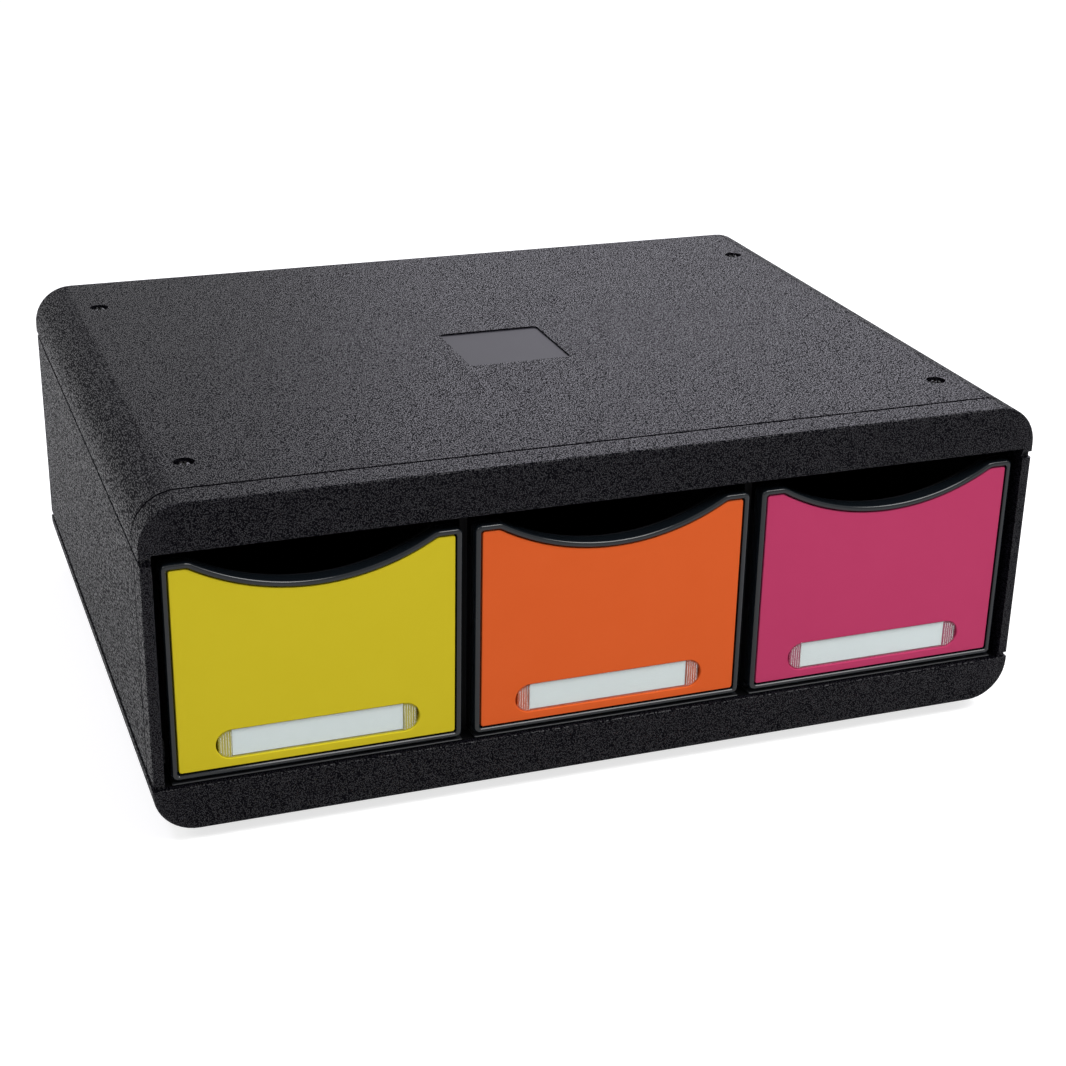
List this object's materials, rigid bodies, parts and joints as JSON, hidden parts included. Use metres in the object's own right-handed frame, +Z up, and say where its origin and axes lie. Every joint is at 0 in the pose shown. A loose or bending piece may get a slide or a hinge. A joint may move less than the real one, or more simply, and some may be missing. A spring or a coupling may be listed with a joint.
{
  "type": "desktop drawer unit",
  "caption": "Low desktop unit with a rounded carcass and drawers side by side, each with a coloured front, a scooped finger grip and a label window.",
  "frame": {"origin": "on the desk under the middle of the unit", "axes": "+X to the right seen from the front, +Y to the rear, +Z up; the drawers open towards -Y"},
  "size_m": [0.355, 0.27, 0.135],
  "materials": {
    "shell_black": "fine sand grain",
    "inner_black": "fine matt",
    "tray_black": "smooth satin",
    "rim_slate": "smooth satin",
    "panel_yellow": "smooth matt",
    "panel_orange": "smooth matt",
    "panel_pink": "smooth matt",
    "window_clear": "clear",
    "card_white": "uncoated",
    "screw_black": "blackened",
    "foot_rubber": "matt"
  },
  "bodies": {
    "carcass": {"top_cover": "shell_black", "bottom_cover": "shell_black", "left_side_wall": "shell_black", "right_side_wall": "shell_black", "rear_wall": "shell_black", "drawer_deck": "inner_black", "left_divider": "inner_black", "right_divider": "inner_black", "front_left_top_screw": "screw_black", "front_left_bottom_screw": "screw_black", "front_left_foot": "foot_rubber", "front_right_top_screw": "screw_black", "front_right_bottom_screw": "screw_black", "front_right_foot": "foot_rubber", "rear_left_top_screw": "screw_black", "rear_left_bottom_screw": "screw_black", "rear_left_foot": "foot_rubber", "rear_right_top_screw": "screw_black", "rear_right_bottom_screw": "screw_black", "rear_right_foot": "foot_rubber"},
    "left_drawer": {"left_tray": "tray_black", "left_front_frame": "rim_slate", "left_front_panel": "panel_yellow", "left_label_window": "window_clear", "left_label_card": "card_white"},
    "centre_drawer": {"centre_tray": "tray_black", "centre_front_frame": "rim_slate", "centre_front_panel": "panel_orange", "centre_label_window": "window_clear", "centre_label_card": "card_white"},
    "right_drawer": {"right_tray": "tray_black", "right_front_frame": "rim_slate", "right_front_panel": "panel_pink", "right_label_window": "window_clear", "right_label_card": "card_white"}
  },
  "joints": [
    {"name": "left_drawer_slide", "type": "slide", "parent": "carcass", "child": "left_drawer", "axis": [0, -1, 0], "range_m": [0, 0.188]},
    {"name": "centre_drawer_slide", "type": "slide", "parent": "carcass", "child": "centre_drawer", "axis": [0, -1, 0], "range_m": [0, 0.188]},
    {"name": "right_drawer_slide", "type": "slide", "parent": "carcass", "child": "right_drawer", "axis": [0, -1, 0], "range_m": [0, 0.188]}
  ]
}
